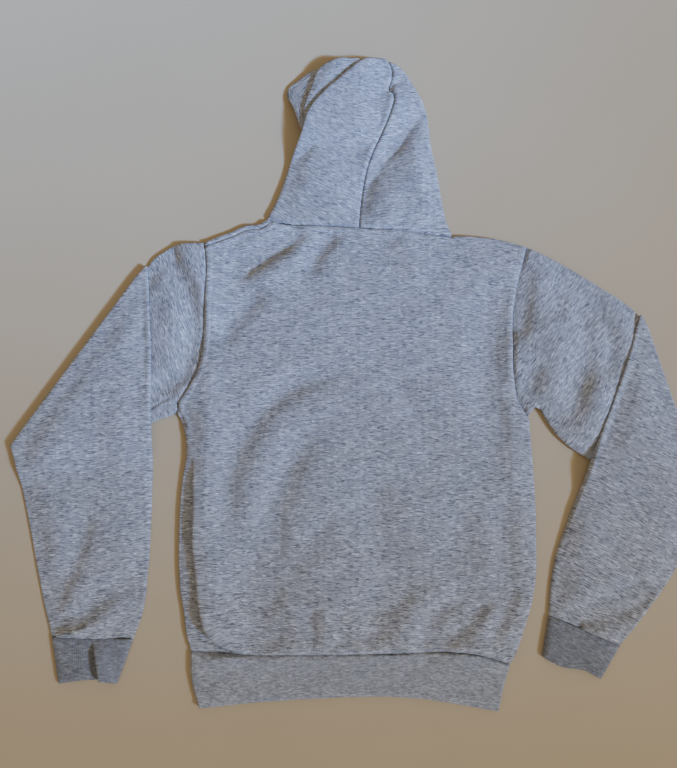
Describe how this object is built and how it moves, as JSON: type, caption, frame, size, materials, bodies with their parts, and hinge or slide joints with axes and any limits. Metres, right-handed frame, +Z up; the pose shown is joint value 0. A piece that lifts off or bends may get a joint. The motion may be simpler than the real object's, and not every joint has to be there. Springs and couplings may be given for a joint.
{
  "type": "pullover hoodie",
  "caption": "Pullover hoodie in marled fleece, laid flat with its back up, hood spread upwards and both sleeves folded over at the elbow, with ribbed cuffs and waistband.",
  "frame": {"origin": "middle of the bounding box in plan, on the surface that the garment lies on", "axes": "+Z up out of the surface, through the back panel; +Y from the waistband towards the hood; +X to the right of someone who looks down on the back with the hood at the top, which is the wearer's right side"},
  "size_m": [0.959, 0.9512, 0.0177],
  "materials": {
    "fleece": "grey marl jersey face with a soft nap",
    "rib": "grey marl rib knit"
  },
  "bodies": {
    "root": {"back": "fleece", "front": "fleece", "sleeve_left": "fleece", "sleeve_right": "fleece", "hood_left": "fleece", "hood_right": "fleece", "hood_brow": "fleece", "hood_hem": "fleece", "waistband": "rib", "cuff_left": "rib", "cuff_right": "rib"}
  },
  "joints": []
}
